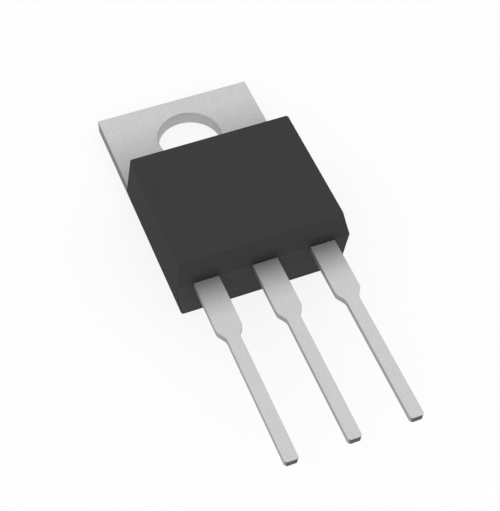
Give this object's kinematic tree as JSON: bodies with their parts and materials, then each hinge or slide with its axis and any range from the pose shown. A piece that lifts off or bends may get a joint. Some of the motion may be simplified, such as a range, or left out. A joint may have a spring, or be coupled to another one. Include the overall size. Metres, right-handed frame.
{
  "type": "power mosfet",
  "caption": "Three-lead power transistor in a black moulded body on a drilled copper heat-sink tab, for through-hole mounting and screw-down cooling.",
  "frame": {"origin": "on the axis of the mounting hole, in the plane of the tab's back, which sits on the heat sink", "axes": "+X across the part to the source lead's side, +Y from the leads to the tab's free end, +Z out of the front of the moulded body"},
  "size_m": [0.0102, 0.0271, 0.0043],
  "materials": {
    "moulding_compound": "fine matte moulded epoxy, charcoal black",
    "tinned_copper": "satin grey tin plate over copper",
    "silicon": "polished grey silicon",
    "solder": "dull solder",
    "bond_wire": "bright aluminium wire"
  },
  "bodies": {
    "root": {"epoxy_body": "moulding_compound", "heat_sink_tab": "tinned_copper", "gate_lead": "tinned_copper", "source_lead": "tinned_copper", "silicon_die": "silicon", "die_solder": "solder", "gate_wire": "bond_wire", "source_wire_1": "bond_wire", "source_wire_2": "bond_wire"}
  },
  "joints": []
}
